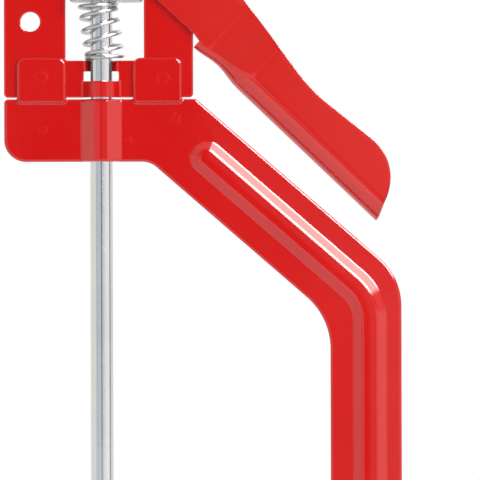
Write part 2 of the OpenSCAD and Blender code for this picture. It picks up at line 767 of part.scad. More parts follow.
// Soft cap that covers a disc's face at z = 0 and grips its rim above
module soft_cap() {
    difference() {
        translate([0, 0, -pad_t]) rotate_extrude() polygon(round_path([
            [0, 0, 0], [pad_r, 0, 1.4], [pad_r, pad_t + rim_h, 0.5], [0, pad_t + rim_h, 0]]));
        cylinder(r = disc_r, h = rim_h + cut);
    }
}

module swivel_pad() {
    color("dimgray") translate([0, 0, cup_z]) soft_cap();
}

// ---- Fixed jaw ----

function jaw_rivet_z() = jaw_top - stem_d * 0.55;

module anvil() {
    stem_h = stem_d * 1.05;
    flat = stem_d * 0.4;
    color("silver") difference() {
        union() {
            translate([0, 0, -pad_t - disc_t]) rotate_extrude() polygon(round_path([
                [0, 0, 0], [disc_r - 1, 0, 0], [disc_r, 1, 0.6], [disc_r, disc_t, 0.5], [0, disc_t, 0]]));
            intersection() {
                translate([0, 0, jaw_top - stem_h]) cylinder(d = stem_d, h = stem_h + disc_t / 2);
                translate([-stem_d, -flat, jaw_top - stem_h]) cube([2 * stem_d, 2 * flat, stem_h + disc_t]);
            }
        }
        translate([-stem_d, -sheet_t, jaw_top - stem_h - cut]) cube([2 * stem_d, 2 * sheet_t, stem_h + cut]);
        cross_cylinder(0, jaw_rivet_z(), jaw_rivet_d / 2, 2 * stem_d);
    }
}

module anvil_rivet() {
    color("silver") translate([0, 0, jaw_rivet_z()])
        rivet(jaw_rivet_d / 2, stem_d * 0.4, jaw_rivet_d * 0.85, 2);
}

module anvil_pad() {
    color("dimgray") translate([0, 0, -pad_t]) mirror([0, 0, 1]) soft_cap();
}

frame_front();
frame_rear();
mechanism_plate();
handle();
handle_rivets();
handle_bushes();
trigger();
trigger_rivet();
trigger_washers();
drive_plate();
drive_spring();
release_lever();
release_spring();
rod();
rod_knob();
rod_knob_pin();
swivel_cup();
swivel_ring();
swivel_pad();
anvil();
anvil_rivet();
anvil_pad();
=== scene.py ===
"""Looks of the quick release bar clamp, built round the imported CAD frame.

Shapes are worked out in millimetres and scaled to metres when a piece is finished.
X points to the arm of the frame, Z runs up along the rod and -Y is the front.
"""

import math

import bmesh
import bpy
from mathutils import Matrix, Vector


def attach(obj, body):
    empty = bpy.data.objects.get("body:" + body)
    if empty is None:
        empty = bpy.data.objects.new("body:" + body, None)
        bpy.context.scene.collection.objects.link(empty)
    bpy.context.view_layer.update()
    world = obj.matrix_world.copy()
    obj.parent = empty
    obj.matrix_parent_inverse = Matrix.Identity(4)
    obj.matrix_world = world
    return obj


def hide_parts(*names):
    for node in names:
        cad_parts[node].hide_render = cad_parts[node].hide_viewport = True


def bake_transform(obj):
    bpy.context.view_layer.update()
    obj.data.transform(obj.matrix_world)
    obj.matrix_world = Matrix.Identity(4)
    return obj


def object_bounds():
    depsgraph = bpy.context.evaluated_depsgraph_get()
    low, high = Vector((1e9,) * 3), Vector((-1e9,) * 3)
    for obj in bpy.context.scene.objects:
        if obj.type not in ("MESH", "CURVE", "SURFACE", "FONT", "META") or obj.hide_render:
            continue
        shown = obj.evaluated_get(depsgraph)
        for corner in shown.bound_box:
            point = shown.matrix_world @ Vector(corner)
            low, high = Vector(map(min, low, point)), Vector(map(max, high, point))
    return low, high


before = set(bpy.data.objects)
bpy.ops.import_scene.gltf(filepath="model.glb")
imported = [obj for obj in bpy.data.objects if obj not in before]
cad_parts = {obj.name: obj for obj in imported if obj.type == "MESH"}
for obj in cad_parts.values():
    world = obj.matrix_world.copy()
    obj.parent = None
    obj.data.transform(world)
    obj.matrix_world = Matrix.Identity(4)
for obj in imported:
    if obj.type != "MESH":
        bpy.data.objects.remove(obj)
cad_low, cad_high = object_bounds()

MM = 0.001
CLAMP = "clamp frame"

# ---- Sizes of the part, in millimetres and degrees ----

ROD_R = 4.75
GUIDE_R = 4.83
SHEET = 1.8
PLATE = 3.0
SLOPE = math.radians(41.0)
OUTER_LINE, INNER_LINE, BEAD_LINE = 182.54, 149.94, 166.94
HEAD_TOP, HEAD_BOTTOM = 207.2, 180.8
HEAD_LEFT, HEAD_RIGHT = -41.0, 38.8
HEAD_FROM = 150.0  # above this height the sheets are pressed round the rod
ARM_IN, ARM_OUT = 96.4, 126.4
JAW_TOP, JAW_BOTTOM, JAW_TIP = -7.0, -38.0, -15.0
CORNER_R = 38.0
TABS = ((-35.5, -14.9), (13.4, 34.0))
TAB_TOP = 224.6
BEAD_FOOT, BEAD_TOP, BEAD_HEIGHT = 7.4, 2.4, 2.7
BEAD_X, BEAD_Z = 113.0, -24.6
PLATE_BOTTOM, PLATE_TOP = 207.9, 297.8
WINDOW = (-15.0, 223.5, 18.0, 282.4)
HANG_HOLE = (-29.9, 239.9, 4.1)
PIVOT = Vector((28.4, 0.0, 263.8))


def on_line(line, x):
    """Height of a sloping line of the frame at x."""
    return (line - x * math.sin(SLOPE)) / math.cos(SLOPE)


def at_height(line, z):
    """Place in x where a sloping line of the frame reaches height z."""
    return (line - z * math.cos(SLOPE)) / math.sin(SLOPE)


def ease(u):
    """Smooth step from 0 to 1."""
    u = max(0.0, min(1.0, u))
    return u * u * (3 - 2 * u)


# ---- Bench tools for meshes ----


def trace(bm, corners, y=0.0, closed=True):
    """Edges through corners (x, z, radius), each corner turned by spinning a vertex."""
    known = set(bm.edges)
    points = [Vector((x, y, z)) for x, z, _ in corners]
    ends = []
    for i, (_, _, r) in enumerate(corners):
        to_last = (points[i - 1] - points[i]).normalized()
        to_next = (points[(i + 1) % len(points)] - points[i]).normalized()
        half = to_last.angle(to_next) / 2
        if not r:
            v = bm.verts.new(points[i])
            ends.append((v, v))
            continue
        first = bm.verts.new(points[i] + to_last * r / math.tan(half))
        turn = math.pi - 2 * half
        last = bmesh.ops.spin(
            bm,
            geom=[first],
            cent=points[i] + (to_last + to_next).normalized() * r / math.sin(half),
            axis=(-to_last).cross(to_next).normalized(),
            angle=turn,
            steps=max(4, math.ceil(turn * r / 0.9), math.ceil(turn * 8)),
        )["geom_last"]
        ends.append((first, [v for v in last if isinstance(v, bmesh.types.BMVert)][0]))
    for i, (first, _) in enumerate(ends):
        if i + closed and (first.co - ends[i - 1][1].co).length > 1e-3:
            bm.edges.new((ends[i - 1][1], first))
    loop = [e for e in bm.edges if e not in known]
    bmesh.ops.remove_doubles(bm, verts=list({v for e in loop for v in e.verts}), dist=1e-3)
    return [e for e in bm.edges if e not in known]


def fill(bm, loop):
    """One face inside a loop, looking to the front."""
    known = set(bm.faces)
    bmesh.ops.contextual_create(bm, geom=loop)
    face = [f for f in bm.faces if f not in known][0]
    face.normal_update()
    if face.normal.y > 0:
        face.normal_flip()
    return face


def inset(bm, face, by, forward=0.0):
    """Narrows a face by an even border and moves what is left of it forward."""
    bmesh.ops.inset_region(
        bm, faces=[face], thickness=by, depth=0, use_even_offset=True, use_boundary=True
    )
    if forward:
        bmesh.ops.translate(bm, verts=face.verts, vec=(0, -forward, 0))


def ring_hole(x, z, r):
    """Corners of a round hole."""
    return [(x - r, z - r, r), (x + r, z - r, r), (x + r, z + r, r), (x - r, z + r, r)]


def box_hole(x0, z0, x1, z1, r):
    """Corners of a hole with straight sides."""
    return [(x0, z0, r), (x1, z0, r), (x1, z1, r), (x0, z1, r)]


def grown(corners, by):
    """Corners of a hole made larger on every side, about its own middle."""
    mx = sum(c[0] for c in corners) / len(corners)
    mz = sum(c[1] for c in corners) / len(corners)
    return [
        (x + math.copysign(by, x - mx), z + math.copysign(by, z - mz), r + by if r else 0)
        for x, z, r in corners
    ]


def blank(bm, outline, holes, lip, footprint=None):
    """Flat sheet at y = 0 with holes. Returns the face of the footprint."""
    face = fill(bm, trace(bm, outline))
    inset(bm, face, lip)
    rims = list(face.edges)
    bmesh.ops.delete(bm, geom=[face], context="FACES_ONLY")
    for corners in holes:
        known = set(bm.faces)
        hole = fill(bm, trace(bm, grown(corners, lip)))
        inset(bm, hole, lip)
        ring = [f for f in bm.faces if f not in known and f is not hole]
        rims += [e for f in ring for e in f.edges if len(e.link_faces) == 1]
        bmesh.ops.delete(bm, geom=[hole], context="FACES_ONLY")
    if footprint:
        loop = trace(bm, footprint)
        rims += loop
    bmesh.ops.triangle_fill(bm, use_beauty=True, edges=rims, normal=(0, -1, 0))
    return fill(bm, loop) if footprint else None


def cut(bm, columns, rows):
    """Splits the upper part along columns in x and rows in z, so it can be pressed to shape."""
    for places, across in ((columns, Vector((1, 0, 0))), (rows, Vector((0, 0, 1)))):
        for at in places:
            faces = [f for f in bm.faces if f.calc_center_median().z > HEAD_FROM]
            edges = list({e for f in faces for e in f.edges})
            verts = list({v for e in edges for v in e.verts})
            bmesh.ops.bisect_plane(
                bm, geom=faces + edges + verts, dist=1e-4, plane_co=at * across, plane_no=across
            )


def thicken(bm, depth):
    """Gives a flat sheet a front that stands before its back. Returns the front's vertices, faces."""
    made = bmesh.ops.extrude_face_region(bm, geom=list(bm.faces), use_keep_orig=True)["geom"]
    front = {v for v in made if isinstance(v, bmesh.types.BMVert)}
    bmesh.ops.translate(bm, verts=list(front), vec=(0, -depth, 0))
    return front, [f for f in made if isinstance(f, bmesh.types.BMFace)]


def soften(bm, width, segments=3, angle=50.0, only=None):
    """Rounds every edge sharper than an angle."""
    bm.normal_update()
    edges = [
        e
        for e in bm.edges
        if len(e.link_faces) == 2
        and e.calc_face_angle(0) > math.radians(angle)
        and (only is None or all(v in only for v in e.verts))
    ]
    bmesh.ops.bevel(
        bm,
        geom=edges,
        offset=width,
        offset_type="OFFSET",
        segments=segments,
        profile=0.5,
        affect="EDGES",
        clamp_overlap=False,
        material=-1,
    )


def keep(bm, name, body, material, stands_for=(), sharp=38.0, recalc=True):
    """Turns a bmesh in millimetres into a finished piece that rides on a body, when one is given."""
    if recalc:
        bmesh.ops.recalc_face_normals(bm, faces=bm.faces)
    bmesh.ops.scale(bm, vec=(MM, MM, MM), verts=bm.verts)
    mesh = bpy.data.meshes.new(name)
    bm.to_mesh(mesh)
    bm.free()
    mesh.materials.append(material)
    mesh.shade_smooth()
    mesh.set_sharp_from_angle(angle=math.radians(sharp))
    piece = bpy.data.objects.new(name, mesh)
    bpy.context.scene.collection.objects.link(piece)
    even = piece.modifiers.new("even_shading", "WEIGHTED_NORMAL")
    even.keep_sharp = True
    if body:
        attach(piece, body)
    if stands_for:
        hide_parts(*stands_for)
    return piece


# ---- Finishes ----


def group(name, inputs, outputs):
    """Empty node group with named sockets: {name: (kind, default)} in, {name: kind} out."""
    tree = bpy.data.node_groups.new(name, "ShaderNodeTree")
    for title, (kind, value) in inputs.items():
        socket = tree.interface.new_socket(title, in_out="INPUT", socket_type="NodeSocket" + kind)
        if value is not None:
            socket.default_value = value
    for title, kind in outputs.items():
        tree.interface.new_socket(title, in_out="OUTPUT", socket_type="NodeSocket" + kind)
    return tree, tree.nodes.new("NodeGroupInput"), tree.nodes.new("NodeGroupOutput")


def add(tree, kind, links=(), values=(), **settings):
    """New node with its settings, plain values and links from other sockets."""
    made = tree.nodes.new(kind)
    for key, value in settings.items():
        setattr(made, key, value)
    for key, value in dict(values).items():
        made.inputs[key].default_value = value
    for key, source in dict(links).items():
        tree.links.new(source, made.inputs[key])
    return made


def place_group(tree, inner, links=(), values=()):
    """Node that holds a group, with its links and plain values."""
    return add(tree, "ShaderNodeGroup", links, values, node_tree=inner)


def grain_group():
    """Fine height and slow tone of a finish: orange peel on paint, skin on plastic, frost on zinc."""
    tree, given, out = group(
        "grain",
        {
            "Place": ("Vector", None),
            "Fine": ("Float", 600.0),
            "Slow": ("Float", 40.0),
        },
        {"Height": "Float", "Tone": "Float"},
    )
    fine = add(
        tree,
        "ShaderNodeTexNoise",
        {"Vector": given.outputs["Place"], "Scale": given.outputs["Fine"]},
        {"Detail": 3.0, "Roughness": 0.5},
    )
    slow = add(
        tree,
        "ShaderNodeTexNoise",
        {"Vector": given.outputs["Place"], "Scale": given.outputs["Slow"]},
        {"Detail": 4.0, "Roughness": 0.6},
    )
    tree.links.new(fine.outputs["Fac"], out.inputs["Height"])
    tree.links.new(slow.outputs["Fac"], out.inputs["Tone"])
    return tree


def specks_group():
    """Mask of a few small specks and pits."""
    tree, given, out = group(
        "specks",
        {
            "Place": ("Vector", None),
            "Scale": ("Float", 160.0),
            "Size": ("Float", 0.07),
            "Share": ("Float", 0.25),
        },
        {"Mask": "Float"},
    )
    cells = add(
        tree,
        "ShaderNodeTexVoronoi",
        {"Vector": given.outputs["Place"], "Scale": given.outputs["Scale"]},
    )
    near = add(
        tree,
        "ShaderNodeMath",
        {0: cells.outputs["Distance"], 1: given.outputs["Size"]},
        operation="LESS_THAN",
    )
    parts = add(tree, "ShaderNodeSeparateColor", {"Color": cells.outputs["Color"]})
    chosen = add(
        tree,
        "ShaderNodeMath",
        {0: parts.outputs["Red"], 1: given.outputs["Share"]},
        operation="LESS_THAN",
    )
    both = add(
        tree, "ShaderNodeMath", {0: near.outputs[0], 1: chosen.outputs[0]}, operation="MULTIPLY"
    )
    tree.links.new(both.outputs[0], out.inputs["Mask"])
    return tree


def brushed_group():
    """Fine lines that run along Z, as drawing and rolling leave them."""
    tree, given, out = group(
        "drawn_lines",
        {"Place": ("Vector", None), "Across": ("Float", 2500.0), "Along": ("Float", 12.0)},
        {"Height": "Float"},
    )
    stretch = add(
        tree,
        "ShaderNodeCombineXYZ",
        {"X": given.outputs["Across"], "Y": given.outputs["Across"], "Z": given.outputs["Along"]},
    )
    place = add(
        tree,
        "ShaderNodeVectorMath",
        {0: given.outputs["Place"], 1: stretch.outputs[0]},
        operation="MULTIPLY",
    )
    lines = add(
        tree, "ShaderNodeTexNoise", {"Vector": place.outputs[0]}, {"Scale": 1.0, "Detail": 2.0}
    )
    tree.links.new(lines.outputs["Fac"], out.inputs["Height"])
    return tree


GRAIN = grain_group()
SPECKS = specks_group()
LINES = brushed_group()


def finish_base(name):
    """Material with a Principled shader and Object coordinates."""
    made = bpy.data.materials.new(name)
    made.use_nodes = True
    tree = made.node_tree
    tree.nodes.clear()
    shader = tree.nodes.new("ShaderNodeBsdfPrincipled")
    out = tree.nodes.new("ShaderNodeOutputMaterial")
    tree.links.new(shader.outputs["BSDF"], out.inputs["Surface"])
    place = tree.nodes.new("ShaderNodeTexCoord").outputs["Object"]
    return made, tree, shader, place


def two_tones(tree, mask, first, second, low=0.3, high=0.7):
    """Colour that goes from one tone to another as a mask rises."""
    share = add(
        tree,
        "ShaderNodeMapRange",
        {"Value": mask},
        {"From Min": low, "From Max": high},
        clamp=True,
    )
    made = add(tree, "ShaderNodeMix", {0: share.outputs[0]}, data_type="RGBA")
    made.inputs[6].default_value = (*first, 1)
    made.inputs[7].default_value = (*second, 1)
    return made.outputs[2]


def ranged(tree, mask, low, high):
    """Value that goes from low to high as a mask goes from 0.3 to 0.7."""
    return add(
        tree,
        "ShaderNodeMapRange",
        {"Value": mask},
        {"From Min": 0.3, "From Max": 0.7, "To Min": low, "To Max": high},
    ).outputs[0]


def bumped(tree, shader, height, strength, depth):
    """Feeds a height to the shader's normal."""
    bump = add(
        tree, "ShaderNodeBump", {"Height": height}, {"Strength": strength, "Distance": depth}
    )
    tree.links.new(bump.outputs["Normal"], shader.inputs["Normal"])


SPECK_COLOUR = (0.34, 0.012, 0.010, 1)
PAINTED_REFLECTION_RED = (0.14, 0.09, 0.09, 1)  # painted reflection: the dull colour the paint is given only in mirrored rays, as seen in the polished rod
WELD_WOBBLE = 0.0042
WELD_DEPTH = -9.0

# Spot welds that show on the front: x and z of the middle and the radius, in metres
WELDS = (
    (-0.0252, 0.2165, 0.0031),
    (0.0259, 0.2160, 0.0031),
    (-0.0248, 0.1941, 0.0021),
    (0.0119, 0.1895, 0.0021),
    (0.0318, 0.1992, 0.0021),
)


def weld_marks_group():
    """Faint round dents of the spot welds that join the sheets."""
    tree, given, out = group("weld_marks", {"Place": ("Vector", None)}, {"Depth": "Float"})
    wobble = add(
        tree,
        "ShaderNodeTexNoise",
        {"Vector": given.outputs["Place"]},
        {"Scale": 420.0, "Detail": 2.0},
    )
    shift = add(
        tree,
        "ShaderNodeVectorMath",
        {0: wobble.outputs["Color"]},
        {1: (0.5, 0.5, 0.5)},
        operation="SUBTRACT",
    )
    moved = add(
        tree,
        "ShaderNodeVectorMath",
        {0: shift.outputs[0], 2: given.outputs["Place"]},
        {1: (WELD_WOBBLE,) * 3},
        operation="MULTIPLY_ADD",
    )
    flat = add(
        tree, "ShaderNodeVectorMath", {0: moved.outputs[0]}, {1: (1, 0, 1)}, operation="MULTIPLY"
    )
    total = None
    for x, z, r in WELDS:
        away = add(
            tree,
            "ShaderNodeVectorMath",
            {0: flat.outputs[0]},
            {1: (x, 0, z)},
            operation="DISTANCE",
        )
        dent = add(
            tree,
            "ShaderNodeMapRange",
            {"Value": away.outputs["Value"]},
            {"From Min": r * 0.5, "From Max": r, "To Min": 1.0, "To Max": 0.0},
            interpolation_type="SMOOTHSTEP",
        ).outputs[0]
        if total is None:
            total = dent
        else:
            total = add(tree, "ShaderNodeMath", {0: total, 1: dent}, operation="ADD").outputs[0]
    tree.links.new(total, out.inputs["Depth"])
    return tree


def red_paint(name, first, second):
    """Gloss enamel on pressed sheet: slight orange peel, slow change of tone, a few specks, and a
    painted reflection colour that mirrored rays see.
    """
    made, tree, shader, place = finish_base(name)
    grain = place_group(tree, GRAIN, {"Place": place}, {"Fine": 420.0, "Slow": 22.0})
    specks = place_group(
        tree, SPECKS, {"Place": place}, {"Scale": 130.0, "Size": 0.03, "Share": 0.12}
    )
    welds = place_group(tree, weld_marks_group(), {"Place": place})
    tone = two_tones(tree, grain.outputs["Tone"], first, second)
    speck = add(
        tree,
        "ShaderNodeMix",
        {0: specks.outputs["Mask"], 6: tone},
        {7: SPECK_COLOUR},
        data_type="RGBA",
    )
    # Painted reflection: in mirrored rays the paint shows a dull brownish colour instead of its red.
    path = tree.nodes.new("ShaderNodeLightPath")
    painted_reflection = add(
        tree,
        "ShaderNodeMix",
        {0: path.outputs["Is Glossy Ray"], 6: speck.outputs[2]},
        {7: PAINTED_REFLECTION_RED},
        data_type="RGBA",
    )
    tree.links.new(painted_reflection.outputs[2], shader.inputs["Base Color"])
    tree.links.new(ranged(tree, grain.outputs["Tone"], 0.06, 0.11), shader.inputs["Roughness"])
    sunk = add(
        tree, "ShaderNodeMath", {0: welds.outputs["Depth"]}, {1: WELD_DEPTH}, operation="MULTIPLY"
    )
    height = add(
        tree, "ShaderNodeMath", {0: grain.outputs["Height"], 1: sunk.outputs[0]}, operation="ADD"
    )
    bumped(tree, shader, height.outputs[0], 0.1, 0.00006)
    shader.inputs["Specular IOR Level"].default_value = 0.5
    shader.inputs["Coat Weight"].default_value = 0.7
    shader.inputs["Coat Roughness"].default_value = 0.03
    return made


def metal(name, first, second, rough, fine=900.0, slow=60.0, strength=0.2, lines=False):
    """Bare or plated metal whose tone and roughness change slowly, with a fine texture."""
    made, tree, shader, place = finish_base(name)
    grain = place_group(tree, GRAIN, {"Place": place}, {"Fine": fine, "Slow": slow})
    height = grain.outputs["Height"]
    if lines:
        height = place_group(tree, LINES, {"Place": place}).outputs["Height"]
    tree.links.new(
        two_tones(tree, grain.outputs["Tone"], first, second), shader.inputs["Base Color"]
    )
    tree.links.new(ranged(tree, grain.outputs["Tone"], *rough), shader.inputs["Roughness"])
    shader.inputs["Metallic"].default_value = 1.0
    bumped(tree, shader, height, strength, 0.00002)
    return made


def moulded(name, first, second, rough, fine=1500.0, strength=0.5):
    """Moulded plastic or rubber with a fine skin."""
    made, tree, shader, place = finish_base(name)
    grain = place_group(tree, GRAIN, {"Place": place}, {"Fine": fine, "Slow": 50.0})
    tree.links.new(
        two_tones(tree, grain.outputs["Tone"], first, second), shader.inputs["Base Color"]
    )
    tree.links.new(ranged(tree, grain.outputs["Tone"], *rough), shader.inputs["Roughness"])
    bumped(tree, shader, grain.outputs["Height"], strength, 0.00005)
    return made


ENAMEL = red_paint("red_enamel", (0.605, 0.0036, 0.0030), (0.640, 0.0052, 0.0040))
# Painted sheen: the trigger wears the frame's red, given here a lighter, more orange copy that stands
# in for the light its walls catch.
PAINTED_SHEEN_TRIGGER_RED = red_paint("trigger_red_painted_sheen", (0.610, 0.0130, 0.0095), (0.645, 0.0160, 0.0115))
ZINC = metal("zinc_plate", (0.50, 0.51, 0.54), (0.60, 0.61, 0.63), (0.26, 0.40))
ROD_STEEL = metal(
    "drawn_rod", (0.74, 0.75, 0.77), (0.80, 0.81, 0.82), (0.10, 0.16), strength=0.05, lines=True
)
SPRING_STEEL = metal("spring_wire", (0.60, 0.60, 0.60), (0.70, 0.70, 0.70), (0.24, 0.34))
KNOB_PLASTIC = moulded("knob_plastic", (0.018, 0.018, 0.020), (0.028, 0.028, 0.030), (0.35, 0.5))
RUBBER = moulded("soft_face_rubber", (0.035, 0.035, 0.037), (0.05, 0.05, 0.052), (0.6, 0.75))


# ---- Pressed frame ----


FLAT_SHARE, MOUTH_SHARE = 0.15, 0.35  # shares of a channel's half that are flat and its mouth


def channel_profile(flat_front, flat_back, inner, wall, foot, mouth, start):
    """Stations across a channel pressed to the front: (front x, front y, back x, back y)."""
    bm = bmesh.new()
    trace(
        bm,
        [
            (-foot - 1.2, flat_front, 0),
            (-foot, flat_front, 1.2),
            (-2.9, inner + wall - 0.1, 1.2),
            (0, inner + wall, 0),
        ],
        closed=False,
    )
    bmesh.ops.subdivide_edges(bm, edges=[e for e in bm.edges if e.calc_length() > 2], cuts=3)
    front = sorted((v.co.x, -v.co.z) for v in bm.verts)
    bm.free()
    half = []
    for i, (x, y) in enumerate(front):
        share = i / (len(front) - 1)
        a = start + (math.pi / 2 - start) * max(0.0, share - MOUTH_SHARE) / (1 - MOUTH_SHARE)
        edge = -inner * math.cos(a), -inner * math.sin(a)
        if share < FLAT_SHARE:
            edge = x - (mouth + x) * share / FLAT_SHARE, flat_back
        elif share < MOUTH_SHARE:
            part = (share - FLAT_SHARE) / (MOUTH_SHARE - FLAT_SHARE)
            edge = -mouth + (edge[0] + mouth) * part, flat_back + (edge[1] - flat_back) * part
        half.append((x, y, *edge))
    return half + [(-s[0], s[1], -s[2], s[3]) for s in reversed(half[:-1])]


def across(stations, x):
    """Front x, front y, back x and back y of a channel at x, or None beside it."""
    for first, second in zip(stations, stations[1:]):
        if first[0] <= x <= second[0]:
            part = (x - first[0]) / max(1e-6, second[0] - first[0])
            return [p + (q - p) * part for p, q in zip(first, second)]
    return None


def frame_corners():
    """Outline of a frame half with its tabs."""
    tabs = []
    for left, right in reversed(TABS):
        tabs += [
            (right, HEAD_TOP, 0.5),
            (right, TAB_TOP, 3.2),
            (left, TAB_TOP, 3.2),
            (left, HEAD_TOP, 0.5),
        ]
    slope_end = at_height(INNER_LINE, HEAD_BOTTOM)
    return [
        (HEAD_LEFT, HEAD_TOP, 1.7),
        (HEAD_LEFT, HEAD_BOTTOM, 9.3),
        (slope_end, HEAD_BOTTOM, 9.0),
        (ARM_IN, on_line(INNER_LINE, ARM_IN), 29.0),
        (ARM_IN, JAW_TOP, 16.0),
        (JAW_TIP, JAW_TOP, 3.0),
        (JAW_TIP, JAW_BOTTOM, 16.0),
        (ARM_OUT, JAW_BOTTOM, CORNER_R),
        (ARM_OUT, on_line(OUTER_LINE, ARM_OUT), 27.0),
        (HEAD_RIGHT + 1.2, HEAD_TOP, 2.0),
        *tabs,
    ]


JOGGLE_TOP, JOGGLE_LOW = HEAD_TOP + 0.3, HEAD_TOP - 0.8
JOGGLE_MARGIN, JOGGLE_REACH = 1.2, 1.5


def tab_lift(x, z):
    """How far the sheet is pressed forward near a tab: full in the tab, fading into the head."""
    lift = 0.0
    for left, right in TABS:
        margin = JOGGLE_MARGIN * ease((JOGGLE_TOP - z) / JOGGLE_MARGIN)
        aside = max(0.0, left + margin - x, x - right + margin)
        below = max(0.0, JOGGLE_LOW - z)
        lift = max(lift, PLATE / 2 * ease(1 - math.hypot(aside, below) / JOGGLE_REACH))
    return lift


DROOP, DROOP_FROM, DROOP_OVER = 0.03, 45, 20


def outer_droop(x, z):
    """The flange outside the bead leans back a little."""
    beyond = x * math.sin(SLOPE) + z * math.cos(SLOPE) - BEAD_LINE
    beyond = max(beyond, x - BEAD_X) - BEAD_FOOT - 0.1
    return DROOP * max(0.0, beyond) * ease((x - DROOP_FROM) / DROOP_OVER)


BEAD_HEAD_X, BEAD_END_X = 44.5, 26.0


def bead_footprint():
    """Outline of the stiffening bead's foot: an even band with two round ends."""
    w = BEAD_FOOT
    across = Vector((math.sin(SLOPE), math.cos(SLOPE)))
    along = Vector((math.cos(SLOPE), -math.sin(SLOPE)))
    head = Vector((BEAD_HEAD_X, on_line(BEAD_LINE, BEAD_HEAD_X)))
    left_bend = ARM_OUT - 13.4 - w, on_line(BEAD_LINE - w, BEAD_X - w)
    right_bend = BEAD_X + w, on_line(BEAD_LINE + w, BEAD_X + w)
    back = head - along * w
    return [
        (*(back + across * w), w),
        (*(back - across * w), w),
        (*left_bend, 20.0 - w),
        (BEAD_X - w, BEAD_Z + w, 24.6 - w),
        (BEAD_END_X - w, BEAD_Z + w, w),
        (BEAD_END_X - w, BEAD_Z - w, w),
        (BEAD_X + w, BEAD_Z - w, 24.6 + w),
        (*right_bend, 20.0 + w),
    ]


def flank_rise(u, foot=0.22, crest=0.34):
    """Share of the bead's height at u across its flank: straight between a small and a long bend."""
    steep = 1 / (1 - (foot + crest) / 2)
    if u < foot:
        return steep * u * u / (2 * foot)
    if u > 1 - crest:
        return 1 - steep * (1 - u) ** 2 / (2 * crest)
    return steep * (u - foot / 2)


def press_bead(bm, face, narrower, steps=24):
    """Raises the bead from its foot in even steps, then crowns its top a little."""
    foot, top = BEAD_FOOT - narrower, BEAD_TOP - narrower / 4
    if narrower:
        inset(bm, face, narrower)
    height = 0.0
    for i in range(1, steps + 1):
        raised = BEAD_HEIGHT * flank_rise(i / steps)
        inset(bm, face, (foot - top) / steps, raised - height)
        height = raised
    for low, step in ((0.0, 0.5), (0.02, 0.8), (0.02, 0.8)):
        inset(bm, face, step, low)


def frame_half(name, node, side):
    """One pressed half: head with channel and tabs, slope, arm and jaw, with the bead."""
    stations = channel_profile(SHEET, 0.0, ROD_R + 0.4, SHEET, 8.3, 5.5, 0.2)
    columns = [s[0] for s in stations]
    for edge in (x for tab in TABS for x in tab):
        columns += [edge + 0.3 * i for i in range(-7, 8)]
    rows = [HEAD_TOP - 2.6 + 0.2 * i for i in range(17)]
    bm = bmesh.new()
    foot = blank(bm, frame_corners(), [ring_hole(0, -15.8, 2.5)], 1.4, bead_footprint())
    front, faces = thicken(bm, SHEET)
    press_bead(bm, max(faces, key=lambda f: len(f.verts)), 0.0)
    press_bead(bm, foot, 0.8 * SHEET)
    soften(bm, 1.0, 5, only=front)
    cut(bm, columns, rows)
    for v in bm.verts:
        x, z = v.co.x, v.co.z
        ahead = -v.co.y / SHEET
        s = across(stations, x) if z > HEAD_BOTTOM - 1 else None
        if s:
            v.co.x = s[2] + (s[0] - s[2]) * ahead
            v.co.y = s[3] + (s[1] - s[3]) * ahead
        v.co.y += outer_droop(x, z) * ahead - tab_lift(x, z)
    if side < 0:
        bmesh.ops.scale(bm, vec=(1, -1, 1), verts=bm.verts)
    return keep(bm, name, CLAMP, ENAMEL, [node])


# ---- Mechanism plate ----

HANDLE_ROOT = (38.0, 284.2)
HANDLE_TILT = math.radians(10.5)
RIVET_STATIONS = ((14.0, -0.5), (36.0, -0.5))
FRONT_LOOP, LOOP_SLOT, SLOT_HALF = 6.8, 4.4, 7.33
RELEASE_PIVOT = (-27.0, 304.2)


def on_handle(s, n):
    """Point s along the handle and n above its middle line."""
    c, k = math.cos(HANDLE_TILT), math.sin(HANDLE_TILT)
    return HANDLE_ROOT[0] + s * c + n * k, HANDLE_ROOT[1] - s * k + n * c


def plate_corners():
    """Outline of the mechanism plate with its tang on the right and its post on the left."""
    root_x, root_z = on_handle(0, -9)
    notch_low, notch_high = RELEASE_PIVOT[1] - 1.95, RELEASE_PIVOT[1] + 1.95
    return [
        (HEAD_LEFT, PLATE_BOTTOM, 1.7),
        (HEAD_RIGHT, PLATE_BOTTOM, 1.7),
        (HEAD_RIGHT, root_z - (HEAD_RIGHT - root_x) * math.tan(HANDLE_TILT), 2.5),
        (*on_handle(44, -9), 5),
        (*on_handle(44, 11.5), 5),
        (*on_handle(2, 11.5), 2),
        (HEAD_RIGHT - 2, PLATE_TOP, 1),
        (-24, PLATE_TOP, 1.5),
        (-24, notch_low, 0),
        (-29, notch_low, 0.8),
        (-29, notch_high, 0.8),
        (-24, notch_high, 0),
        (-24, PLATE_TOP + 20, 4),
        (-36, PLATE_TOP + 20, 4),
        (HEAD_LEFT, PLATE_TOP - 6, 8),
    ]


def loop_point(stations, x, z, ahead):
    """Place of a point of the plate in the loops round the rod, which pass in front and behind."""
    s = across(stations, x)
    low = PLATE_BOTTOM + FRONT_LOOP
    high = PLATE_TOP - FRONT_LOOP
    beside = [z - low, high - z]
    if not s or abs(x) > SLOT_HALF - 0.5 and any(0.1 < b < LOOP_SLOT - 0.1 for b in beside):
        return x, PLATE / 2 - PLATE * ahead
    in_front = s[2] + (s[0] - s[2]) * ahead, s[3] + (s[1] - s[3]) * ahead
    behind = s[0] + (s[2] - s[0]) * ahead, -s[1] + (s[1] - s[3]) * ahead
    share = ease(min(beside) / LOOP_SLOT)
    return tuple(f + (b - f) * share for f, b in zip(in_front, behind))


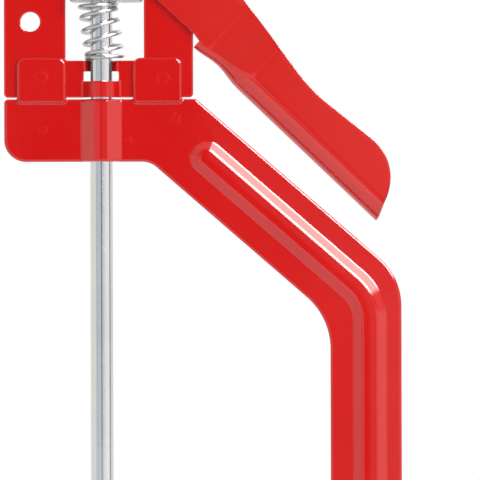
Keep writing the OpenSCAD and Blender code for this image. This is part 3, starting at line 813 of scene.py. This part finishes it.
def mechanism_plate():
    """Flat plate with a window for the drive and two pairs of loops that guide the rod."""
    stations = channel_profile(PLATE / 2, PLATE / 2, GUIDE_R, 2.8, 7.9, 6.8, 0.61)
    slots = [
        box_hole(-SLOT_HALF, z, SLOT_HALF, z + LOOP_SLOT, 0.8)
        for z in (PLATE_BOTTOM + FRONT_LOOP, PLATE_TOP - FRONT_LOOP - LOOP_SLOT)
    ]
    rounds = [ring_hole(*HANG_HOLE), ring_hole(PIVOT.x, PIVOT.z, 3.0)]
    rounds += [ring_hole(*on_handle(*place), 2.0) for place in RIVET_STATIONS]
    bm = bmesh.new()
    blank(bm, plate_corners(), [box_hole(*WINDOW, 1.7), *slots, *rounds], 0.8)
    thicken(bm, PLATE)
    soften(bm, 0.4, 2)
    rows = [s[0][1] + LOOP_SLOT * i / 8 for s in slots for i in range(9)]
    cut(bm, [s[0] for s in stations], rows)
    for v in bm.verts:
        v.co.x, v.co.y = loop_point(stations, v.co.x, v.co.z, -v.co.y / PLATE)
    return keep(bm, "mechanism_plate_skin", CLAMP, ENAMEL, ["mechanism_plate"])


# ---- Trigger ----

GRIP = math.radians(43.7)
GRIP_DROP, GRIP_END = 17.9, 137.9
WEB_START, PINCH_END, SWELL_END = 31.7, 36.7, 58.7
PINCH_HALF, GRIP_HALF = 3.6, 8.4
TRIGGER_SHEET = 1.8


def on_grip(t, n):
    """Point t along the trigger's grip and n above its folded web."""
    c, k = math.cos(GRIP), math.sin(GRIP)
    m = n - GRIP_DROP
    return PIVOT.x + t * c + m * k, PIVOT.z - t * k + m * c


def along_grip(point):
    """How far along the grip a point of the trigger lies."""
    return (point.x - PIVOT.x) * math.cos(GRIP) - (point.z - PIVOT.z) * math.sin(GRIP)


def grip_half(t):
    """Half the width of the grip at t: narrow in the pinch, then swelling."""
    return PINCH_HALF + (GRIP_HALF - PINCH_HALF) * ease((t - PINCH_END) / (SWELL_END - PINCH_END))


def grip_edge():
    """Open edge of the grip's walls, from its root to the tip, as points (along, up)."""
    bm = bmesh.new()
    trace(
        bm,
        [
            (WEB_START, 29.5, 0),
            (GRIP_END - 57.9, 20.9, 75),
            (GRIP_END - 9.6, 25.1, 21),
            (GRIP_END - 3.3, 9.0, 0),
        ],
        closed=False,
    )
    bmesh.ops.subdivide_edges(
        bm, edges=[e for e in bm.edges if e.calc_length() > 8], cuts=11, use_grid_fill=False
    )
    points = sorted(((v.co.x, v.co.z) for v in bm.verts), key=lambda p: p[0] - 0.4 * p[1])
    bm.free()
    return points


WALL_ROWS, BEND_ROWS = 8, 24
FAN, FAN_EDGE = 33.0, 29.7  # length of the tip's fan along the web and along the open edge
WEB_DIP, DIP_LENGTH = 1.5, 25.0
EAR = (  # outline of an ear from the pivot, from the top of its root round to the web
    (24.5, -1, 20),
    (15, 13, 14),
    (1, 19.5, 12),
    (-13.5, 13.5, 10),
    (-21.1, -12.1, 5.0),
    (-13.9, -12.1, 1.6),
    (-12.4, -10.9, 0.8),
    (-6, -13.6, 1.0),
)


def folded_grip(bm):
    """Grid bent to a round web below and two walls up to the open edge."""
    edge = grip_edge()
    around = 2 * WALL_ROWS + BEND_ROWS
    bmesh.ops.create_grid(bm, x_segments=len(edge) - 1, y_segments=around, size=0.5)
    fan = GRIP_END - FAN
    for v in bm.verts:
        along, up = edge[round((v.co.x + 0.5) * (len(edge) - 1))]
        k = round((v.co.y + 0.5) * around)
        foot = along if along < fan else fan + (along - fan) * FAN / FAN_EDGE
        half = grip_half(foot)
        side = -1 if k < around / 2 else 1
        rise = min(k, around - k)
        part = max(0.0, min(1.0, (foot - WEB_START) / DIP_LENGTH))
        dip = WEB_DIP * math.sin(math.pi * part) ** 2
        if rise <= WALL_ROWS:
            y, n = side * half, half + (up - half) * (1 - rise / WALL_ROWS)
        else:
            a = math.pi * (rise - WALL_ROWS) / BEND_ROWS
            y, n = side * half * math.cos(a), half - half * math.sin(a)
        x, z = on_grip(foot + (along - foot) / up * n, n + dip * (1 - n / up))
        v.co = (x, y, z)


def on_root(e, y):
    """Whether an edge lies where a wall of the grip meets the ear at y."""
    return len(e.link_faces) == 1 and all(
        abs(v.co.y - y) < 1e-3 and abs(along_grip(v.co) - WEB_START) < 1e-2 for v in e.verts
    )


def ear(bm, side):
    """Flat ear with the pivot's hole, joined to the wall of the grip."""
    y = side * PINCH_HALF
    top, low = on_grip(WEB_START, 29.5), on_grip(WEB_START, PINCH_HALF)
    around = [(PIVOT.x + x, PIVOT.z + z, r) for x, z, r in EAR]
    corners = [(*top, 0), *around, (low[0] - 2.5, low[1] + 3.3, 1), (*low, 0)]
    path = trace(bm, corners, y=y, closed=False)
    trace(bm, ring_hole(PIVOT.x, PIVOT.z, 3.05), y=y)
    root = [e for e in bm.edges if on_root(e, y)]
    ends = {v for e in path + root for v in e.verts}
    bmesh.ops.remove_doubles(bm, verts=list(ends), dist=2e-3)
    rims = [e for e in bm.edges if not e.link_faces or on_root(e, y)]
    bmesh.ops.triangle_fill(bm, use_beauty=True, edges=rims, normal=(0, side, 0))


def trigger():
    """One folded sheet: round web below, two walls, pinched to two flat ears at the pivot."""
    bm = bmesh.new()
    folded_grip(bm)
    for side in (-1, 1):
        ear(bm, side)
    bmesh.ops.recalc_face_normals(bm, faces=bm.faces)
    down = Vector((-math.sin(GRIP), 0, -math.cos(GRIP)))
    web = max(bm.faces, key=lambda f: f.calc_center_median().dot(down))
    if web.normal.dot(down) < 0:
        bmesh.ops.reverse_faces(bm, faces=bm.faces)
    bmesh.ops.solidify(bm, geom=list(bm.faces), thickness=TRIGGER_SHEET)
    soften(bm, 0.3, 2)
    return keep(bm, "trigger_skin", "trigger", PAINTED_SHEEN_TRIGGER_RED, ["trigger"])


# ---- Rod, springs and small parts ----


def turned(name, body, material, profile, stands_for, steps=96, width=0.0):
    """Piece turned about the rod's axis from a profile of (radius, z), bottom to top."""
    bm = bmesh.new()
    verts = [bm.verts.new((r, 0, z)) for r, z in profile]
    edges = [bm.edges.new(pair) for pair in zip(verts, verts[1:])]
    bmesh.ops.spin(
        bm,
        geom=verts + edges,
        cent=(0, 0, 0),
        axis=(0, 0, 1),
        angle=math.tau,
        steps=steps,
        use_merge=True,
    )
    bmesh.ops.remove_doubles(bm, verts=bm.verts, dist=1e-4)
    if width:
        bmesh.ops.recalc_face_normals(bm, faces=bm.faces)
        soften(bm, width, 2, 25)
    return keep(bm, name, body, material, stands_for)


def rod():
    """Long drawn rod with a chamfered top, a necked foot and a ball."""
    ball = [
        (4.5 * math.sin(math.radians(a)), 22.5 - 4.5 * math.cos(math.radians(a)))
        for a in range(0, 140, 6)
    ]
    return turned(
        "drawn_rod",
        "rod",
        ROD_STEEL,
        [*ball, (2.7, 26.1), (2.7, 29.9), (ROD_R, 29.9), (ROD_R, 344.1), (3.95, 344.9), (0, 344.9)],
        ["rod"],
        width=0.3,
    )


STEPS_PER_CURL = 32
LEVER_TILT = 8.0


def curl_height(c, n, rise, wire):
    """Height of a spring's wire after c of its n curls; the end curls are closed."""
    dead, close = min(1.05, n / 4), 0.95 * wire
    pitch = (rise - 2 * dead * close) / (n - 2 * dead)
    if c < dead:
        return c * close
    if c > n - dead:
        return rise - (n - c) * close
    return dead * close + (c - dead) * pitch


def spring(name, base, curls, r, rise, wire, phase, lean, tilt, flat_top, stands_for):
    """Round wire wound round the rod, built at one length; in the clamp it shortens between two
    bodies.
    """
    data = bpy.data.curves.new(name, "CURVE")
    data.dimensions = "3D"
    data.bevel_depth = wire / 2
    data.bevel_resolution = 5
    data.use_fill_caps = True
    steps = round(curls * STEPS_PER_CURL)
    line = data.splines.new("POLY")
    line.points.add(steps)
    for i, point in enumerate(line.points):
        c = min(curls, i / STEPS_PER_CURL)
        a = math.radians(phase) + math.tau * c
        h = curl_height(c, curls, rise, wire)
        u = h / rise
        x = r * math.cos(a)
        share = min(1.0, 3 * u, 3 - 3 * u if flat_top else 1.0)
        place = (
            x + lean * (0.5 - u),
            r * math.sin(a),
            base + h + x * math.tan(math.radians(tilt)) * share,
        )
        point.co = (*place, 1)
    wound = bpy.data.objects.new(name + "_line", data)
    bpy.context.scene.collection.objects.link(wound)
    mesh = wound.evaluated_get(bpy.context.evaluated_depsgraph_get()).to_mesh()
    bm = bmesh.new()
    bm.from_mesh(mesh)
    bpy.data.objects.remove(wound)
    bmesh.ops.remove_doubles(bm, verts=bm.verts, dist=1e-4)
    piece = keep(bm, name, None, SPRING_STEEL, stands_for)
    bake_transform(piece)
    return piece


def springs():
    """Drive spring under the drive plate and release spring under the lever."""
    spring(
        "drive_spring_wire",
        WINDOW[1] + 0.85,
        5.77,
        7.7,
        23.0,
        1.7,
        150,
        3.0,
        8.5,
        True,
        ["drive_spring"],
    )
    tilt = math.radians(LEVER_TILT)
    under = RELEASE_PIVOT[1] - RELEASE_PIVOT[0] * math.tan(tilt) - PLATE / 2 / math.cos(tilt)
    rise = under - PLATE_TOP - 1.1 / math.cos(tilt) - 0.3
    spring(
        "release_spring_wire",
        PLATE_TOP + 0.7,
        3.1,
        6.45,
        rise,
        1.1,
        0,
        0.0,
        LEVER_TILT,
        False,
        ["release_spring"],
    )


def dressed(node, body, material, width, segments=2, angle=35.0):
    """Copy of a CAD node with merged faces and rounded edges."""
    bm = bmesh.new()
    bm.from_mesh(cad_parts[node].data)
    bmesh.ops.scale(bm, vec=(1 / MM,) * 3, verts=bm.verts)
    bmesh.ops.remove_doubles(bm, verts=bm.verts, dist=1e-3)
    bmesh.ops.dissolve_limit(bm, angle_limit=math.radians(0.6), verts=bm.verts, edges=bm.edges)
    soften(bm, width, segments, angle)
    return keep(bm, node + "_piece", body, material, [node], recalc=False)


def small_parts():
    """Plain parts whose CAD shape is right and needs only soft edges and a finish."""
    dressed("drive_plate", "drive plate", ZINC, 0.35, 3)
    dressed("handle", CLAMP, ENAMEL, 0.4, 3)
    dressed("handle_rivets", CLAMP, ZINC, 0.2)
    dressed("handle_bushes", CLAMP, ZINC, 0.15)
    dressed("trigger_rivet", CLAMP, ZINC, 0.2)
    dressed("trigger_washers", CLAMP, ZINC, 0.12)
    dressed("release_lever", "release lever", ZINC, 0.4, 3)
    dressed("rod_knob", "rod", KNOB_PLASTIC, 0.3)
    dressed("rod_knob_pin", "rod", ZINC, 0.25)
    dressed("swivel_cup", "swivel jaw", ZINC, 0.2)
    dressed("swivel_ring", "swivel jaw", SPRING_STEEL, 0.1)
    dressed("swivel_pad", "swivel jaw", RUBBER, 0.25)
    dressed("anvil", CLAMP, ZINC, 0.25)
    dressed("anvil_rivet", CLAMP, ZINC, 0.2)
    dressed("anvil_pad", CLAMP, RUBBER, 0.25)


# ---- Camera, light and stage ----

PIXELS = 480
PIXELS_PER_MM = 2.37
VIEW_CENTRE = ((PIXELS / 2 - 101.7) / PIXELS_PER_MM, (590 - PIXELS / 2) / PIXELS_PER_MM)
VIEW_DISTANCE = 1.8
VIEW_ROLL = math.radians(0.15)


def camera():
    """Long lens straight in front, turned a little as the photograph is."""
    data = bpy.data.cameras.new("camera")
    data.sensor_width = 36.0
    data.lens = 36.0 * VIEW_DISTANCE / (PIXELS / PIXELS_PER_MM * MM)
    data.clip_start, data.clip_end = 0.05, 50.0
    made = bpy.data.objects.new("camera", data)
    bpy.context.scene.collection.objects.link(made)
    x, z = VIEW_CENTRE
    made.matrix_world = (
        Matrix.Translation((x * MM, -VIEW_DISTANCE, z * MM))
        @ Matrix.Rotation(VIEW_ROLL, 4, "Y")
        @ Matrix.Rotation(math.radians(90), 4, "X")
    )
    bpy.context.scene.camera = made


def softbox(name, target, direction, distance, size, power):
    """Rectangular lamp that looks at a target from a direction."""
    data = bpy.data.lights.new(name, "AREA")
    data.shape = "RECTANGLE"
    data.size, data.size_y = size
    data.energy = power
    made = bpy.data.objects.new(name, data)
    bpy.context.scene.collection.objects.link(made)
    way = Vector(direction).normalized()
    turn = way.to_track_quat("Z", "Y").to_matrix().to_4x4()
    made.matrix_world = Matrix.Translation(Vector(target) + way * distance) @ turn


# Brightness of the room that polished faces mirror, by angle in degrees and grey or colour.
# Level: angle to the right of the camera. The others: angle away from the camera.
ROOM_LEVEL = (
    (-180, (0.86, 0.84, 0.80)),
    (-66, (0.86, 0.84, 0.78)),
    (-57, (0.80, 0.78, 0.72)),
    (-54, (0.42, 0.43, 0.45)),
    (-50, (0.55, 0.60, 0.66)),
    (-8, (0.62, 0.67, 0.74)),
    (-5, (0.45, 0.47, 0.50)),
    (-3.6, (0.06, 0.06, 0.06)),
    (-0.8, (0.08, 0.08, 0.08)),
    (1.5, (0.26, 0.26, 0.26)),
    (9, (0.60, 0.60, 0.60)),
    (45, (0.95, 0.93, 0.90)),
    (84, (1.00, 1.00, 1.00)),
    (89, (0.22, 0.22, 0.22)),
    (97, (0.22, 0.22, 0.22)),
    (104, (0.80, 0.80, 0.82)),
    (180, (0.85, 0.85, 0.86)),
)
ROOM_ABOVE = (
    (0, (0.08, 0.08, 0.08)),
    (48, (0.18, 0.18, 0.18)),
    (64, (0.60, 0.60, 0.60)),
    (180, (0.80, 0.80, 0.80)),
)
ROOM_BELOW = (
    (0, (0.08, 0.08, 0.08)),
    (21, (0.12, 0.12, 0.12)),
    (29, (0.92, 0.84, 0.42)),
    (72, (0.92, 0.84, 0.42)),
    (78, (0.16, 0.14, 0.12)),
    (88, (0.20, 0.18, 0.14)),
    (97, (1.00, 0.94, 0.84)),
    (180, (1.00, 0.96, 0.90)),
)
ROOM_LAMP = (
    (15, (0.0, 0.0, 0.0)),
    (21, (1.0, 1.0, 1.0)),
    (50, (1.0, 1.0, 1.0)),
    (68, (0.48, 0.45, 0.42)),
    (95, (0.45, 0.44, 0.43)),
    (125, (0.10, 0.10, 0.10)),
)
LAMP_LEVEL = 14.0
LAMP_WAY = (0.656, 0.0, 0.755)
LAMP_SIDE = (-0.755, 0.0, 0.656)
LAMP_EDGE = (0.46, 0.34)  # side by way at the lamp's blurred edge
LAMP_START = (0.16, 0.30)
LEVEL_BAND = (0.10, 0.15)  # heights of a direction between which level goes over to up or down
EVEN_LIGHT = (0.82, 0.82, 0.84, 1)


def ramp(tree, angle, stops, low, high):
    """Colour by an angle in radians, from stops in degrees."""
    share = add(
        tree,
        "ShaderNodeMapRange",
        {"Value": angle},
        {"From Min": math.radians(low), "From Max": math.radians(high)},
    )
    made = add(tree, "ShaderNodeValToRGB", {"Fac": share.outputs[0]})
    marks = made.color_ramp.elements
    while len(marks) < len(stops):
        marks.new(0.5)
    for mark, (degrees, colour) in zip(marks, stops):
        mark.position = (degrees - low) / (high - low)
        mark.color = (*colour, 1)
    return made.outputs["Color"]


def stepped(tree, value, start, end):
    """Smooth 0 to 1 as a value goes from start to end."""
    return add(
        tree,
        "ShaderNodeMapRange",
        {"Value": value},
        {"From Min": start, "From Max": end},
        interpolation_type="SMOOTHSTEP",
    ).outputs[0]


def mixed(tree, share, first, second):
    """Mix of two colours, each a socket or a plain colour."""
    made = add(tree, "ShaderNodeMix", {0: share}, data_type="RGBA")
    for key, source in ((6, first), (7, second)):
        if isinstance(source, tuple):
            made.inputs[key].default_value = source
        else:
            tree.links.new(source, made.inputs[key])
    return made.outputs[2]


def room():
    """White for the camera, a pale room with dark gaps for mirrored rays, even grey for the rest."""
    world = bpy.data.worlds.new("room")
    world.use_nodes = True
    bpy.context.scene.world = world
    tree = world.node_tree
    tree.nodes.clear()
    way = tree.nodes.new("ShaderNodeTexCoord").outputs["Generated"]
    part = add(tree, "ShaderNodeSeparateXYZ", {0: way})
    ahead = add(tree, "ShaderNodeMath", {0: part.outputs["Y"]}, {1: -1.0}, operation="MULTIPLY")
    azimuth = add(
        tree, "ShaderNodeMath", {0: part.outputs["X"], 1: ahead.outputs[0]}, operation="ARCTAN2"
    )
    away = add(tree, "ShaderNodeMath", {0: ahead.outputs[0]}, operation="ARCCOSINE").outputs[0]
    up = stepped(tree, part.outputs["Z"], *LEVEL_BAND)
    down = stepped(tree, part.outputs["Z"], -LEVEL_BAND[0], -LEVEL_BAND[1])
    mirrored = ramp(tree, azimuth.outputs[0], ROOM_LEVEL, -180, 180)
    mirrored = mixed(tree, up, mirrored, ramp(tree, away, ROOM_ABOVE, 0, 180))
    mirrored = mixed(tree, down, mirrored, ramp(tree, away, ROOM_BELOW, 0, 180))
    along, beside = (
        add(
            tree, "ShaderNodeVectorMath", {0: way}, {1: axis}, operation="DOT_PRODUCT"
        ).outputs["Value"]
        for axis in (LAMP_WAY, LAMP_SIDE)
    )
    off = add(tree, "ShaderNodeMath", {0: beside}, operation="ABSOLUTE").outputs[0]
    slant = add(tree, "ShaderNodeMath", {0: off, 1: along}, operation="DIVIDE").outputs[0]
    inside = add(
        tree,
        "ShaderNodeMath",
        {0: stepped(tree, slant, *LAMP_EDGE), 1: stepped(tree, along, *LAMP_START)},
        operation="MULTIPLY",
    ).outputs[0]
    lamp = add(
        tree,
        "ShaderNodeVectorMath",
        {0: ramp(tree, away, ROOM_LAMP, 0, 180)},
        {"Scale": LAMP_LEVEL},
        operation="SCALE",
    ).outputs[0]
    mirrored = mixed(tree, inside, mirrored, lamp)
    path = tree.nodes.new("ShaderNodeLightPath")
    shiny = mixed(tree, path.outputs["Is Glossy Ray"], EVEN_LIGHT, mirrored)
    white = add(
        tree,
        "ShaderNodeMath",
        {0: path.outputs["Is Camera Ray"], 1: path.outputs["Is Transmission Ray"]},
        operation="MAXIMUM",
    )
    seen = mixed(tree, white.outputs[0], shiny, (1, 1, 1, 1))
    light = add(tree, "ShaderNodeBackground", {"Color": seen})
    out = tree.nodes.new("ShaderNodeOutputWorld")
    tree.links.new(light.outputs[0], out.inputs["Surface"])


def floor():
    """Round pale floor under the jaw, which keeps the clamp's shadow."""
    bm = bmesh.new()
    bmesh.ops.create_circle(bm, cap_ends=True, segments=96, radius=1.1)
    bmesh.ops.translate(bm, verts=bm.verts, vec=(0.05, 0, cad_low.z - 0.0005))
    mesh = bpy.data.meshes.new("floor")
    bm.to_mesh(mesh)
    bm.free()
    made = bpy.data.objects.new("floor", mesh)
    bpy.context.scene.collection.objects.link(made)
    paper, tree, shader, _ = finish_base("floor_paper")
    shader.inputs["Base Color"].default_value = (0.86, 0.86, 0.86, 1)
    shader.inputs["Roughness"].default_value = 0.9
    shader.inputs["Specular IOR Level"].default_value = 0.1
    path = tree.nodes.new("ShaderNodeLightPath")
    glow = add(tree, "ShaderNodeEmission", {}, {"Color": (1, 1, 1, 1), "Strength": 0.25})
    both = add(tree, "ShaderNodeAddShader", {0: shader.outputs[0], 1: glow.outputs[0]})
    seen = add(
        tree,
        "ShaderNodeMixShader",
        {0: path.outputs["Is Camera Ray"], 1: shader.outputs[0], 2: both.outputs[0]},
    )
    out = [n for n in tree.nodes if n.type == "OUTPUT_MATERIAL"][0]
    tree.links.new(seen.outputs[0], out.inputs["Surface"])
    mesh.materials.append(paper)


def lamps():
    """Large softbox high on the right, in the direction where polished faces mirror it."""
    softbox("key_softbox", (0.058, 0.0, 0.15), (0.503, -0.643, 0.578), 1.2, (0.5, 0.8), 6.5)


def main():
    """Sets the stage, then builds every piece."""
    bpy.context.scene.view_settings.view_transform = "Standard"
    camera()
    room()
    lamps()
    floor()
    frame_half("frame_front_skin", "frame_front", 1)
    frame_half("frame_rear_skin", "frame_rear", -1)
    mechanism_plate()
    trigger()
    rod()
    springs()
    small_parts()


main()
